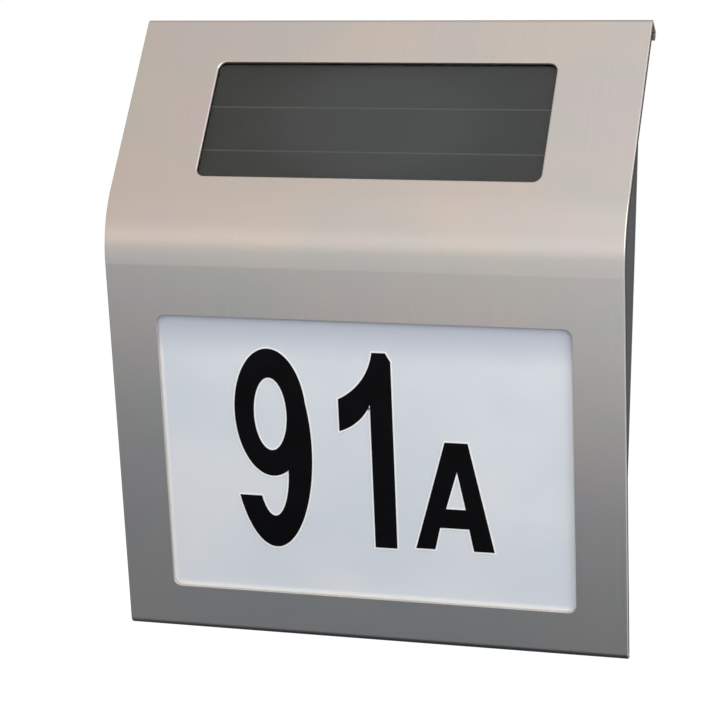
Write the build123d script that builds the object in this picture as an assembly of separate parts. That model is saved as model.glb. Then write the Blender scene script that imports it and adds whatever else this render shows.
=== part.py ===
from build123d import *
import math
import os

# A solar house number sign: a bent steel sheet with two windows, hooked over a plastic housing
# that hangs on a steel bracket on the wall.
#
# X runs to the viewer's right, Y into the wall and Z up. The wall is the plane y = 0. Heights here
# count from just above the sheet's bottom edge, and save() lowers every piece so that the origin
# ends up between the two wall screws. Side-view points are (y, z) pairs.

# ---- the bent sheet: side-view corners of its outer face, before rounding ----
COVER_WIDTH = 180.0
SHEET = 1.0
TOP_EDGE = Vector(-7.6, 214.7)
BEND_CORNER = Vector(-48.3, 142.1)
BOTTOM_EDGE = Vector(-16.7, -0.8)
BEND_RADIUS = 36.0
FOLD_RADIUS = 1.6
HOOK_DEPTH = 8.7
HOOK_LIP = 3.2
RETURN_DEPTH = 3.2
RETURN_FOLD = 2.4

# ---- the two windows, along the slope of their own panel ----
SOLAR_CUT = (120.1, 45.5)
SOLAR_DROP = 40.6
SOLAR_ROUND = 0.45
NUMBER_CUT = (145.0, 99.1)
NUMBER_RISE = 65.5
NUMBER_ROUND = 0.12
CUT_CORNER = 3.0
SIDE_ROUND = 0.35

# ---- depths behind the sheet's outer face ----
TAPE = 0.5
TAPE_MARGINS = (1.0, 6.0)
FACE = SHEET + TAPE
WALL = 2.0
PANE = 2.0
SEAL = 0.5
LEDGE_FRONT = FACE + PANE + SEAL
LEDGE_BACK = LEDGE_FRONT + WALL

# ---- housing and back cover ----
HOUSING_WIDTH = 170.0
HOUSING_LOW = 4.2
HOUSING_HIGH = 204.2
RIM_FRONT = -2.5
BACK_SEAL = 0.8
FIELD = 2.5
FIELD_FRONT = RIM_FRONT - FIELD
RIM_WIDTH = 5.0
FIT = 0.3
COVER_SCREW_X = 80.0
COVER_SCREW_Z = (12.0, 196.0)
BOSS_RADIUS = 3.2
BOSS_REACH = 60.0
SCREW_RADIUS = 1.5
SCREW_HEAD = (2.8, 1.8)
SCREW_LENGTH = 10.0
SMALL_SCREW_RADIUS = 1.0
SMALL_HEAD = (1.9, 1.4)
CROSS_HALF = 0.35

# ---- wall bracket and the pocket that it sits in ----
BRACKET_WIDTH = 76.0
BRACKET_SHEET = 1.5
BRACKET_LOW = 160.0
BRACKET_BEND = 184.0
BRACKET_STEP = 4.0
BRACKET_TOP = 195.0
BRACKET_CORNER = 3.0
BRACKET_FOLDS = (2.5, 1.0)
WALL_SCREW_SPACING = 60.0
WALL_SCREW_HOLE = 2.25
WALL_SCREW_HEIGHT = 172.0
POCKET_HALF = 41.0
POCKET_LOW = 147.5
POCKET_HIGH = 197.0
POCKET_FLOOR = -7.5
POCKET_WALL = 1.5
RAIL_HALF = 36.0
RAIL_LOW = 188.0
RAIL_BACK = -1.9
RAIL_FRONT = -3.4
RAIL_ROOT = 4.0

# ---- battery bay ----
CELL_LENGTH = 50.5
CELL_RADIUS = 7.25
CELL_NUB = (2.75, 1.2)
CELL_Y = -14.0
CELL_Z = 133.0
BAY_HALF = 29.5
BAY_HEIGHT = 15.6
BAY_FLOOR = -22.0
BAY_WALL = 1.5
DOOR_HALF = 33.5
DOOR_HEIGHT = 22.0
DOOR_TRAVEL = 12.0
DOOR_SEAT = 1.5
TONGUE = 1.4
TONGUE_THICKNESS = 0.6
GROOVE = 1.2
TONGUE_LENGTH = 8.0
TONGUE_X = 22.0

# ---- control board and switch ----
BOARD_X = (47.0, 79.0)
BOARD_Z = (152.0, 184.0)
BOARD = 1.6
BOARD_BACK = -11.0
SWITCH_X = (57.0, 69.0)
SWITCH_Z = (164.0, 170.0)
SWITCH_BACK = -6.0
KNOB = (4.0, 3.0)
KNOB_TRAVEL = 4.0
KNOB_TIP = -3.0
KNOB_SLACK = 0.5
KNOB_DEPTH = 2.0
KNOB_GROOVES = 3
POST_RADIUS = 2.6
MARK_RISE = 6.0
MARK_HEIGHT = 0.4
MARK_RADIUS = 1.5
MARK_LINE = 0.6

# ---- light box ----
TRAY_HALF = 75.5
TRAY_WALL = 1.2
TRAY_RISE = (9.4, 119.4)
LED_BOARD = (130.0, 12.0, 1.2)
LED_Y = -24.0
LED_SIZE = (5.0, 5.0, 1.5)
LED_LENS = (1.9, 0.3)
LED_X = (-48.0, -16.0, 16.0, 48.0)
LED_STANDOFF = 1.6

# ---- leads ----
LEAD_RADIUS = 0.7
LEAD_BEND = 5.0

# Unit directions in side view: up each panel, and square to it towards the wall.
TOP_UP = (TOP_EDGE - BEND_CORNER).normalized()
TOP_BACK = TOP_UP.rotate(Axis.Z, -90)
LOW_UP = (BEND_CORNER - BOTTOM_EDGE).normalized()
LOW_BACK = LOW_UP.rotate(Axis.Z, -90)


def top_point(drop, depth):
    """Side-view point below the top edge, along the upper panel, and behind its face."""
    return TOP_EDGE - TOP_UP * drop + TOP_BACK * depth


def low_point(rise, depth):
    """Side-view point above the bottom edge, along the lower panel, and behind its face."""
    return BOTTOM_EDGE + LOW_UP * rise + LOW_BACK * depth


def bend_point(depth):
    """Corner of the two panels' lines, both moved back by the same depth."""
    return BEND_CORNER + (TOP_BACK + LOW_BACK) * (depth / (1 + TOP_BACK.dot(LOW_BACK)))


def at_height(line_point, direction, height):
    """Side-view point where a line through line_point reaches a height."""
    return line_point + direction * ((height - line_point.Y) / direction.Y)


# Planes on the two windows: x to the right, y up the panel, z out of the face.
SOLAR_FACE = Plane(
    origin=(0, top_point(SOLAR_DROP, 0).X, top_point(SOLAR_DROP, 0).Y),
    x_dir=(1, 0, 0),
    z_dir=(0, -TOP_BACK.X, -TOP_BACK.Y),
)
NUMBER_FACE = Plane(
    origin=(0, low_point(NUMBER_RISE, 0).X, low_point(NUMBER_RISE, 0).Y),
    x_dir=(1, 0, 0),
    z_dir=(0, -LOW_BACK.X, -LOW_BACK.Y),
)


def prism(points, radii, width):
    """Side-view outline with rounded corners, carried across the sign's width."""
    outline = FilletPolyline(*points, radius=radii, close=True)
    return extrude(Plane.YZ * make_face(outline), amount=width / 2, both=True)


def moved_line(points, distance):
    """Open line moved to its left by a distance, with mitred corners."""
    runs = [(b - a).normalized() for a, b in zip(points, points[1:])]
    lefts = [run.rotate(Axis.Z, 90) for run in runs]
    moved = [points[0] + lefts[0] * distance]
    for point, before, after in zip(points[1:], lefts, lefts[1:]):
        moved.append(point + (before + after) * (distance / (1 + before.dot(after))))
    moved.append(points[-1] + lefts[-1] * distance)
    return moved


def bent_strip(points, radii, thickness):
    """Flat outline of a folded sheet that lies to the left of a line of points."""
    runs = [(b - a).normalized() for a, b in zip(points, points[1:])]
    turns = [a.cross(b).Z for a, b in zip(runs, runs[1:])]
    near = FilletPolyline(*points, radius=radii)
    far_points = moved_line(points, thickness)
    far_radii = [r - math.copysign(thickness, turn) for r, turn in zip(radii, turns)]
    far = FilletPolyline(*far_points, radius=far_radii)
    ends = [Line(points[0], far_points[0]), Line(points[-1], far_points[-1])]
    return make_face([*near.edges(), *far.edges(), *ends])


def slab(face, width, height, front, back, corner=0.0):
    """Plate on a window's plane between two depths behind the sheet's outer face."""
    shape = RectangleRounded(width, height, corner) if corner else Rectangle(width, height)
    return extrude(face.offset(-back) * shape, amount=back - front)


def frame(face, outer, inner, front, back, corner=0.0):
    """Plate with a hole, both centred on a window."""
    return slab(face, *outer, front, back, corner) - slab(face, *inner, front - 1, back + 1, corner)


def grown(size, margin):
    """Width and height with the same margin on every side."""
    return (size[0] + 2 * margin, size[1] + 2 * margin)


def block(x, y, z):
    """Box between pairs of coordinates."""
    size = [high - low for low, high in (x, y, z)]
    middle = [(low + high) / 2 for low, high in (x, y, z)]
    return Pos(*middle) * Box(*size)


def rod(radius, x, z, y_front, y_back):
    """Round bar square to the wall."""
    return Pos(x, (y_front + y_back) / 2, z) * Rot(90, 0, 0) * Cylinder(radius, y_back - y_front)


def joined(shapes):
    """All the shapes of a list fused, or kept as separate solids where they don't touch."""
    first, *rest = shapes
    for shape in rest:
        first = first + shape
    return first


# ---------------------------------------------------------------- steel front


def front_cover():
    """Brushed steel sheet: hook, sloping panel, wide bend, number panel and bottom return."""
    hook_corner = top_point(0, HOOK_DEPTH)
    line = [
        hook_corner - TOP_UP * HOOK_LIP,
        hook_corner,
        TOP_EDGE,
        BEND_CORNER,
        BOTTOM_EDGE,
        low_point(0, RETURN_DEPTH),
    ]
    radii = [FOLD_RADIUS, FOLD_RADIUS, BEND_RADIUS, RETURN_FOLD]
    outline = bent_strip(line, radii, SHEET)
    sheet = extrude(Plane.YZ * outline, amount=COVER_WIDTH / 2, both=True)
    sheet = fillet(long_edges(sheet, line[2:5]), SIDE_ROUND)
    windows = ((SOLAR_FACE, SOLAR_CUT, SOLAR_ROUND), (NUMBER_FACE, NUMBER_CUT, NUMBER_ROUND))
    for face, cut, edge_round in windows:
        sheet = sheet - slab(face, *cut, -1, SHEET + 1, CUT_CORNER)
        sheet = fillet(window_edges(sheet, face, cut), edge_round)
    return sheet


def long_edges(sheet, corners):
    """Edges of the outer face at the sheet's two sides, from the top fold to the bottom fold."""
    outer = FilletPolyline(*corners, radius=BEND_RADIUS)
    found = []
    for edge in sheet.edges():
        middle = edge @ 0.5
        at_side = abs(abs(middle.X) - COVER_WIDTH / 2) < 0.01
        if at_side and outer.distance_to(Vector(middle.Y, middle.Z)) < 0.05:
            found.append(edge)
    return found


def window_edges(sheet, face, cut):
    """Edges of a cut-out on the sheet's outer face."""
    found = []
    for edge in sheet.edges():
        middle = face.to_local_coords(edge.center())
        inside = abs(middle.X) < cut[0] / 2 + 0.1 and abs(middle.Y) < cut[1] / 2 + 0.1
        if inside and abs(middle.Z) < 0.01:
            found.append(edge)
    return found


def cover_tape():
    """Two foam tape frames that seal the sheet to the housing around its windows."""
    inner, outer = TAPE_MARGINS
    frames = []
    for face, cut in ((SOLAR_FACE, SOLAR_CUT), (NUMBER_FACE, NUMBER_CUT)):
        frames.append(frame(face, grown(cut, outer), grown(cut, inner), SHEET, FACE, CUT_CORNER))
    return joined(frames)


# ---------------------------------------------------------------- housing

MODULE = (130.0, 55.0)
PANE_SIZE = (153.0, 107.0)
BEAD = 0.7
PANE_SLACK = 0.3
SOLAR_LEDGE = 7.0
PANE_LEDGE = 3.0
SEAT_START = FACE + 0.5
HOUSING_TOP_GAP = 1.2
HOUSING_BOTTOM_GAP = 2.0
FLANGE = 1.2
FLANGE_WIDTH = COVER_WIDTH - 1.2
HOOK_TONGUE = HOOK_DEPTH - SHEET - FIT
SKIRT_BACK = FACE + WALL
HOOK_TONGUE_DROP = 7.0


def housing_block():
    """Outside of the housing, still solid: it follows the sheet and ends at the back seal."""
    back = RIM_FRONT - BACK_SEAL
    skirt_top = at_height(low_point(0, SKIRT_BACK), LOW_UP, HOUSING_LOW)
    tongue_end = at_height(top_point(0, HOOK_TONGUE), TOP_UP, HOUSING_HIGH)
    points = [
        top_point(HOUSING_TOP_GAP, FACE),
        bend_point(FACE),
        low_point(HOUSING_BOTTOM_GAP, FACE),
        low_point(HOUSING_BOTTOM_GAP, SKIRT_BACK),
        skirt_top,
        Vector(back, HOUSING_LOW),
        Vector(back, HOUSING_HIGH),
        tongue_end,
        top_point(HOUSING_TOP_GAP, HOOK_TONGUE),
    ]
    return prism(points, [0, BEND_RADIUS - FACE] + [0] * 7, HOUSING_WIDTH)


def housing_flange():
    """Thin rim of the housing that backs the steel sheet out to its two sides."""
    back = FACE + FLANGE
    points = [
        top_point(HOUSING_TOP_GAP, FACE),
        bend_point(FACE),
        low_point(HOUSING_BOTTOM_GAP, FACE),
        low_point(HOUSING_BOTTOM_GAP, back),
        bend_point(back),
        top_point(HOUSING_TOP_GAP, back),
    ]
    return prism(points, [0, BEND_RADIUS - FACE, 0, 0, BEND_RADIUS - back, 0], FLANGE_WIDTH)


def housing_hollow():
    """Space inside the housing, open at the back."""
    inner = FACE + WALL
    slope_start = top_point(0, HOOK_TONGUE - WALL)
    low, high = HOUSING_LOW + WALL, HOUSING_HIGH - WALL
    points = [
        top_point(HOUSING_TOP_GAP + WALL, inner),
        bend_point(inner),
        at_height(low_point(0, inner), LOW_UP, low),
        Vector(1, low),
        Vector(1, high),
        at_height(slope_start, TOP_UP, high),
        top_point(HOUSING_TOP_GAP + WALL, HOOK_TONGUE - WALL),
    ]
    return prism(points, [0, BEND_RADIUS - inner] + [0] * 5, HOUSING_WIDTH - 2 * WALL)


def cover_screw_spots():
    """Centres of the four back cover screws."""
    return [(side * COVER_SCREW_X, z) for side in (-1, 1) for z in COVER_SCREW_Z]


def housing():
    """Grey plastic shell with framed seats for the solar module and the number pane."""
    whole = housing_block()
    shell = whole - housing_hollow() + housing_flange()
    seats = (
        (SOLAR_FACE, MODULE, BEAD, SOLAR_LEDGE),
        (NUMBER_FACE, PANE_SIZE, PANE_SLACK, PANE_LEDGE),
    )
    for face, size, slack, _ in seats:
        shell = shell + (slab(face, *grown(size, slack + WALL), SEAT_START, LEDGE_BACK) & whole)
    for x, z in cover_screw_spots():
        shell = shell + (rod(BOSS_RADIUS, x, z, -BOSS_REACH, FIELD_FRONT) & whole)
    for face, size, slack, ledge in seats:
        shell = shell - slab(face, *grown(size, slack), FACE - 1, LEDGE_FRONT)
        shell = shell - slab(face, *grown(size, -ledge), FACE - 1, LEDGE_BACK + 1)
    for x, z in cover_screw_spots():
        shell = shell - rod(SCREW_RADIUS, x, z, RIM_FRONT - SCREW_LENGTH - FIT, 0)
    return shell


# ---------------------------------------------------------------- solar module

GLASS = 1.2
CELL_SHEET = 0.3
CELL_GAP = 0.5
CELL_GAP_RISES = (-11.5, 5.8)
CELL_MARGIN = 2.0


def solar_glass():
    """Tempered glass over the cells, level with the housing's face."""
    return slab(SOLAR_FACE, *MODULE, FACE, FACE + GLASS)


def cell_strips(front, back):
    """Long solar cells, one above the other, parted by two narrow gaps."""
    width = MODULE[0] - 2 * CELL_MARGIN
    edges = [CELL_MARGIN - MODULE[1] / 2]
    for rise in CELL_GAP_RISES:
        edges += [rise - CELL_GAP / 2, rise + CELL_GAP / 2]
    edges.append(MODULE[1] / 2 - CELL_MARGIN)
    strips = []
    for low, high in zip(edges[::2], edges[1::2]):
        middle = Plane(SOLAR_FACE * Pos(0, (low + high) / 2, 0))
        strips.append(slab(middle, width, high - low, front, back))
    return strips


def solar_cells():
    """Three thin dark cells behind the glass."""
    return joined(cell_strips(FACE + GLASS, FACE + GLASS + CELL_SHEET))


def solar_backsheet():
    """Board behind the cells, with a shallow bed for each."""
    board = slab(SOLAR_FACE, *MODULE, FACE + GLASS, LEDGE_FRONT)
    return board - joined(cell_strips(FACE + GLASS, FACE + GLASS + CELL_SHEET))


def solar_seal():
    """Silicone bead that fills the gap round the module."""
    return frame(SOLAR_FACE, grown(MODULE, BEAD), MODULE, FACE, LEDGE_FRONT)


# ---------------------------------------------------------------- number pane

VINYL = 0.2
DIGIT_BASE = 34.6
LETTER_BASE = 35.3
LETTER_MIDDLE = 32.0


def number_window():
    """Opal acrylic pane that the numbers stick to."""
    return slab(NUMBER_FACE, *PANE_SIZE, FACE, FACE + PANE, CUT_CORNER)


def window_seal():
    """Foam ring between the pane and the housing's ledge."""
    return frame(NUMBER_FACE, PANE_SIZE, grown(PANE_SIZE, -PANE_LEDGE), FACE + PANE, LEDGE_FRONT)


def vinyl(shape):
    """Sticker on the pane, drawn with x across and y above the sheet's bottom edge."""
    return extrude(NUMBER_FACE.offset(-FACE) * Pos(0, -NUMBER_RISE) * shape, amount=VINYL)


def numeral_9():
    """Nine: a tall oval with its lower left cut away to a tail, and a bowl with a hole."""
    middle = -33.5
    low = DIGIT_BASE - 2.0
    half_width, half_height = 14.4, 35.8
    tail_top = 18.5
    stroke_inside, stroke_rise = (5.6, 16.8), 28.2
    bowl_size, bowl_rise = (12.9, 22.8), 48.8
    hole_size, hole_rise = (5.9, 13.0), 48.3
    outside = Pos(middle, low + half_height) * Ellipse(half_width, half_height)
    left_half = Pos(middle - half_width, low + tail_top + half_height)
    left_half = left_half * Rectangle(2 * half_width, 2 * half_height)
    inside = Pos(middle, low + stroke_rise) * Ellipse(*stroke_inside)
    bowl = Pos(middle, low + bowl_rise) * Ellipse(*bowl_size)
    hole = Pos(middle, low + hole_rise) * Ellipse(*hole_size)
    return vinyl((outside - left_half - inside) + bowl - hole)


def numeral_1():
    """One: an upright stem with a curved flag on its left."""
    left, right = 2.3, 10.1
    top = DIGIT_BASE + 69.6
    flag_left = -8.9
    flag_top, flag_low, flag_root = top - 16.8, top - 28.2, top - 18.3
    corner = (right - 1.8, top)
    peak = (left + 1.3, top)
    edges = [
        Line((left, DIGIT_BASE), (right, DIGIT_BASE)),
        Line((right, DIGIT_BASE), (right, top - 3)),
        Line((right, top - 3), corner),
        Line(corner, peak),
        ThreePointArc(peak, (-1.2, top - 10.8), (flag_left, flag_top)),
        Line((flag_left, flag_top), (flag_left, flag_low)),
        ThreePointArc((flag_left, flag_low), (-2.6, top - 24.8), (left, flag_root)),
        Line((left, flag_root), (left, DIGIT_BASE)),
    ]
    return vinyl(make_face(edges))


def letter_a():
    """Smaller letter A after the numerals: outline, with a notch at the foot, and its hole."""
    top, notch_top = 38.5, 7.9
    hole_top, hole_low = 28.3, 14.8
    outline = Polyline(
        (-15.2, 0), (-4, top), (4, top), (12.4, 0),
        (5.2, 0), (3.7, notch_top), (-6.5, notch_top), (-8.4, 0), close=True,
    )
    hole = Polyline((0, hole_top), (2.7, hole_low), (-4.2, hole_low), close=True)
    return vinyl(Pos(LETTER_MIDDLE, LETTER_BASE) * (make_face(outline) - make_face(hole)))


# ---------------------------------------------------------------- light box

TRAY_BACK = FIELD_FRONT
LED_SCREW_X = 32.0
LED_BOSS_RADIUS = 2.5
LED_LEAD_HOLE = 5.0
SLOT_HALF = (1.4, 0.25)


def tray_outline(wall):
    """Side view of the light box, or of the space inside it."""
    low, high = TRAY_RISE
    past_front = 5 if wall else 0
    front = LEDGE_BACK - past_front
    bottom = low_point(low, LEDGE_BACK).Y + wall
    top = low_point(high, LEDGE_BACK).Y - wall
    return [
        at_height(low_point(low, front), LOW_UP, bottom),
        at_height(low_point(high, front), LOW_UP, top),
        Vector(TRAY_BACK - wall, top),
        Vector(TRAY_BACK - wall, bottom),
    ]


def tray_top():
    """Height of the underside of the light box's top wall."""
    return low_point(TRAY_RISE[1], LEDGE_BACK).Y - TRAY_WALL


def light_tray():
    """White light box behind the pane: deep at the top, shallow at the bottom."""
    box = prism(tray_outline(0), [0] * 4, 2 * TRAY_HALF)
    box = box - prism(tray_outline(TRAY_WALL), [0] * 4, 2 * (TRAY_HALF - TRAY_WALL))
    for x in (-LED_SCREW_X, LED_SCREW_X):
        box = box + upright(LED_BOSS_RADIUS, x, LED_Y, led_board_top(), tray_top())
        box = box - upright(SMALL_SCREW_RADIUS, x, LED_Y, led_board_top() - 1, tray_top() + 2)
    return box - upright(LED_LEAD_HOLE, sum(LED_LEAD_X) / 2, LED_Y, tray_top() - 1, tray_top() + 3)


def upright(radius, x, y, low, high):
    """Round bar with an upright axis."""
    return Pos(x, y, (low + high) / 2) * Cylinder(radius, high - low)


def led_board_top():
    """Height of the light-emitting diodes' board, just under the light box's top wall."""
    return tray_top() - LED_STANDOFF


def under_tray_top(x, size, top):
    """Box of a length, width and thickness, centred on the row of light-emitting diodes."""
    length, width, thickness = size
    y = (LED_Y - width / 2, LED_Y + width / 2)
    return block((x - length / 2, x + length / 2), y, (top - thickness, top))


def led_board():
    """Narrow white circuit board under the light box's top wall."""
    top = led_board_top()
    board = under_tray_top(0, LED_BOARD, top)
    for x in (-LED_SCREW_X, LED_SCREW_X):
        board = board - upright(SMALL_SCREW_RADIUS, x, LED_Y, top - LED_BOARD[2] - 1, top + 1)
    return board


def leds():
    """Four light-emitting diodes that shine down into the box, each with a round dish for its lens."""
    lens_radius, lens_depth = LED_LENS
    under = led_board_top() - LED_BOARD[2]
    tip = under - LED_SIZE[2]
    packages = []
    for x in LED_X:
        lens = upright(lens_radius, x, LED_Y, tip - 1, tip + lens_depth)
        packages.append(under_tray_top(x, LED_SIZE, under) - lens)
    return joined(packages)


def led_board_screws():
    """Two small slotted screws from below, through the board into the light box."""
    under = led_board_top() - LED_BOARD[2]
    head_radius, head_height = SMALL_HEAD
    slot_size = (2 * SLOT_HALF[0], 2 * SLOT_HALF[1], head_height / 2)
    screws = []
    for x in (-LED_SCREW_X, LED_SCREW_X):
        shank = upright(SMALL_SCREW_RADIUS, x, LED_Y, under, tray_top() + TRAY_WALL)
        head = upright(head_radius, x, LED_Y, under - head_height, under)
        slot = under_tray_top(x, slot_size, under - head_height / 2)
        screws.append(shank + head - slot)
    return joined(screws)


# ---------------------------------------------------------------- back cover


def pocket_box():
    """Outside of the hanging pocket's walls, which stand forward from the cover."""
    return block(
        (-POCKET_HALF - POCKET_WALL, POCKET_HALF + POCKET_WALL),
        (POCKET_FLOOR - POCKET_WALL, FIELD_FRONT + 0.5),
        (POCKET_LOW - POCKET_WALL, POCKET_HIGH + POCKET_WALL),
    )


def bay_box():
    """Outside of the battery bay's walls and of the seat round its mouth."""
    half = BAY_HEIGHT / 2
    walls = block(
        (-BAY_HALF - BAY_WALL, BAY_HALF + BAY_WALL),
        (BAY_FLOOR - BAY_WALL, FIELD_FRONT),
        (CELL_Z - half - BAY_WALL, CELL_Z + half + BAY_WALL),
    )
    seat = block(
        (-DOOR_HALF - DOOR_TRAVEL - 2, DOOR_HALF + 2),
        (FIELD_FRONT - DOOR_SEAT, FIELD_FRONT + 0.5),
        (CELL_Z - DOOR_HEIGHT / 2 - TONGUE - 2, CELL_Z + DOOR_HEIGHT / 2 + TONGUE + 2),
    )
    return walls + seat


def door_opening():
    """What the cover leaves free for the door: its window, side grooves and lift-out notches."""
    half = DOOR_HEIGHT / 2
    x = (-DOOR_HALF - DOOR_TRAVEL - 0.5, DOOR_HALF)
    tall = (CELL_Z - half - TONGUE, CELL_Z + half + TONGUE)
    window = block(x, (FIELD_FRONT, 0), (CELL_Z - half, CELL_Z + half))
    groove = block(x, (FIELD_FRONT, FIELD_FRONT + GROOVE), tall)
    notches = []
    for middle in (-TONGUE_X - DOOR_TRAVEL, TONGUE_X - DOOR_TRAVEL):
        reach = TONGUE_LENGTH / 2 + 2 * FIT
        notches.append(block((middle - reach, middle + reach), (FIELD_FRONT, 0), tall))
    return joined([window, groove, *notches])


def ring_block(size_x, size_z, border, y):
    """Rectangular ring round the sign's back, between two distances from the wall."""
    low, high = size_z
    hole = block((-size_x + border, size_x - border), (y[0] - 1, y[1] + 1), (low + border, high - border))
    return block((-size_x, size_x), y, size_z) - hole


def cover_plate():
    """Rim that lies on the wall, and the field that sits inside the housing's walls."""
    half = HOUSING_WIDTH / 2
    rim = ring_block(half, (HOUSING_LOW, HOUSING_HIGH), RIM_WIDTH, (RIM_FRONT, 0))
    edge = WALL + FIT
    x = (-half + edge, half - edge)
    return rim + block(x, (FIELD_FRONT, RIM_FRONT), (HOUSING_LOW + edge, HOUSING_HIGH - edge))


def contact_slots():
    """Slots through the battery bay's floor for the contacts' solder tabs."""
    y = (BAY_FLOOR - BAY_WALL - 1, BAY_FLOOR + 1)
    z = (CELL_Z - TAB_HALF - FIT, CELL_Z + TAB_HALF + FIT)
    left = block((-CONTACT_X, -CONTACT_X + CONTACT_SLOT), y, z)
    return left + block((CONTACT_X - CONTACT_SLOT, CONTACT_X), y, z)


def switch_middle():
    """Height of the switch's centre line."""
    return sum(SWITCH_Z) / 2


def switch_marks():
    """Raised ring and bar beside the switch for off and on."""
    z = switch_middle() + MARK_RISE
    y = (RIM_FRONT - 0.1, RIM_FRONT + MARK_HEIGHT)
    off, on = knob_start() + KNOB[0] / 2, knob_start() + KNOB_TRAVEL + KNOB[0] / 2
    ring = rod(MARK_RADIUS, off, z, *y) - rod(MARK_RADIUS - MARK_LINE, off, z, y[0] - 1, y[1] + 1)
    return ring + block((on - MARK_LINE / 2, on + MARK_LINE / 2), y, (z - MARK_RADIUS, z + MARK_RADIUS))


def back_cover():
    """Dark plastic tray that closes the housing, with hanging pocket, battery bay and board posts."""
    cover = cover_plate() + pocket_box() + bay_box() + switch_marks()
    for x, z in board_posts():
        cover = cover + rod(POST_RADIUS, x, z, BOARD_BACK, FIELD_FRONT)
    bay = BAY_HEIGHT / 2
    cover = cover - block((-POCKET_HALF, POCKET_HALF), (POCKET_FLOOR, 1), (POCKET_LOW, POCKET_HIGH))
    cover = cover - block((-BAY_HALF, BAY_HALF), (BAY_FLOOR, 1), (CELL_Z - bay, CELL_Z + bay))
    cover = cover - door_opening() - contact_slots() - knob_room(FIELD_FRONT - 1)
    rail_z = (RAIL_LOW, POCKET_HIGH + RAIL_ROOT)
    cover = cover + block((-RAIL_HALF, RAIL_HALF), (RAIL_FRONT, RAIL_BACK), rail_z)
    for x, z in cover_screw_spots():
        cover = cover - rod(SCREW_RADIUS, x, z, FIELD_FRONT - 1, 1)
        cover = cover - rod(SCREW_HEAD[0] + FIT, x, z, RIM_FRONT, 1)
    for x, z in board_posts():
        cover = cover - rod(SMALL_SCREW_RADIUS, x, z, BOARD_BACK - 1, FIELD_FRONT + 1)
    return cover


def back_seal():
    """Rubber gasket between the housing's edge and the back cover's rim."""
    y = (RIM_FRONT - BACK_SEAL, RIM_FRONT)
    return ring_block(HOUSING_WIDTH / 2, (HOUSING_LOW, HOUSING_HIGH), WALL, y)


def cross_slot(x, z, y_front, y_back, reach):
    """Cross recess in a screw head."""
    flat = block((x - reach, x + reach), (y_front, y_back), (z - CROSS_HALF, z + CROSS_HALF))
    return flat + block((x - CROSS_HALF, x + CROSS_HALF), (y_front, y_back), (z - reach, z + reach))


def back_cover_screws():
    """Four pan head screws that hold the back cover, in holes of its rim."""
    head_radius, head_height = SCREW_HEAD
    top = RIM_FRONT + head_height
    screws = []
    for x, z in cover_screw_spots():
        shank = rod(SCREW_RADIUS, x, z, RIM_FRONT - SCREW_LENGTH, RIM_FRONT)
        head = rod(head_radius, x, z, RIM_FRONT, top)
        recess = cross_slot(x, z, top - 0.6 * head_height, top + 1, 0.6 * head_radius)
        screws.append(shank + head - recess)
    return joined(screws)


# ---------------------------------------------------------------- battery

CONTACT = 0.4
CONTACT_X = BAY_HALF
CONTACT_SLOT = 0.7
CONTACT_WIDTH = 8.0
CONTACT_HALF = 6.5
CONTACT_TOUCH = 0.1
CONTACT_END = (1.5, 4.5)
TAB_HALF = 2.5
TAB_REACH = 3.0
CAN_ROUND = 0.6


def battery_cell():
    """One AA-size rechargeable cell, its plus end to the left in front view."""
    length = CELL_LENGTH - CELL_NUB[1]
    can = Pos(CELL_NUB[1] / 2, CELL_Y, CELL_Z) * Rot(0, 90, 0) * Cylinder(CELL_RADIUS, length)
    can = fillet(can.edges().filter_by(GeomType.CIRCLE), CAN_ROUND)
    nub = Pos(-CELL_LENGTH / 2 + CELL_NUB[1] / 2, CELL_Y, CELL_Z) * Rot(0, 90, 0)
    return can + nub * Cylinder(CELL_NUB[0], CELL_NUB[1])


def contact(side):
    """Leaf spring at one end of the bay, with a solder tab through the bay's floor."""
    wall_x = side * CONTACT_X
    end_inset, end_drop = CONTACT_END
    line = [
        Vector(wall_x, CELL_Z - CONTACT_HALF),
        Vector(wall_x, CELL_Z + CONTACT_HALF),
        Vector(side * (CELL_LENGTH / 2 + CONTACT_TOUCH), CELL_Z),
        Vector(side * (CONTACT_X - end_inset), CELL_Z - end_drop),
    ]
    thickness = side * CONTACT
    radii = [0.6, 1.0]
    outline = leaf_outline(line, radii, thickness)
    y = CELL_Y + CONTACT_WIDTH / 2
    leaf = extrude(Plane.XZ.offset(-y) * outline, amount=CONTACT_WIDTH)
    x = sorted((wall_x, wall_x - thickness))
    tab = block(x, (BAY_FLOOR - BAY_WALL - TAB_REACH, CELL_Y), (CELL_Z - TAB_HALF, CELL_Z + TAB_HALF))
    return leaf + tab


def leaf_outline(line, radii, thickness):
    """Outline of a folded leaf whose sheet lies towards the cell."""
    if thickness < 0:
        flipped = bent_strip([Vector(-p.X, p.Y) for p in line], radii, -thickness)
        return mirror(flipped, Plane.YZ)
    return bent_strip(line, radii, thickness)


def battery_contact_positive():
    """Contact at the cell's plus end."""
    return contact(-1)


def battery_contact_negative():
    """Contact at the cell's minus end."""
    return contact(1)


# ---------------------------------------------------------------- battery door

DOOR_PAD = (32.0, 1.4, 8.0)
ARROW = (5.0, 3.0)
ARROW_GAP = 10.0
GRIP_RIBS = 6
GRIP_START = 16.0
GRIP_PITCH = 2.0
GRIP_HEIGHT = 0.5
GRIP_HALF = 6.0


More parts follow.
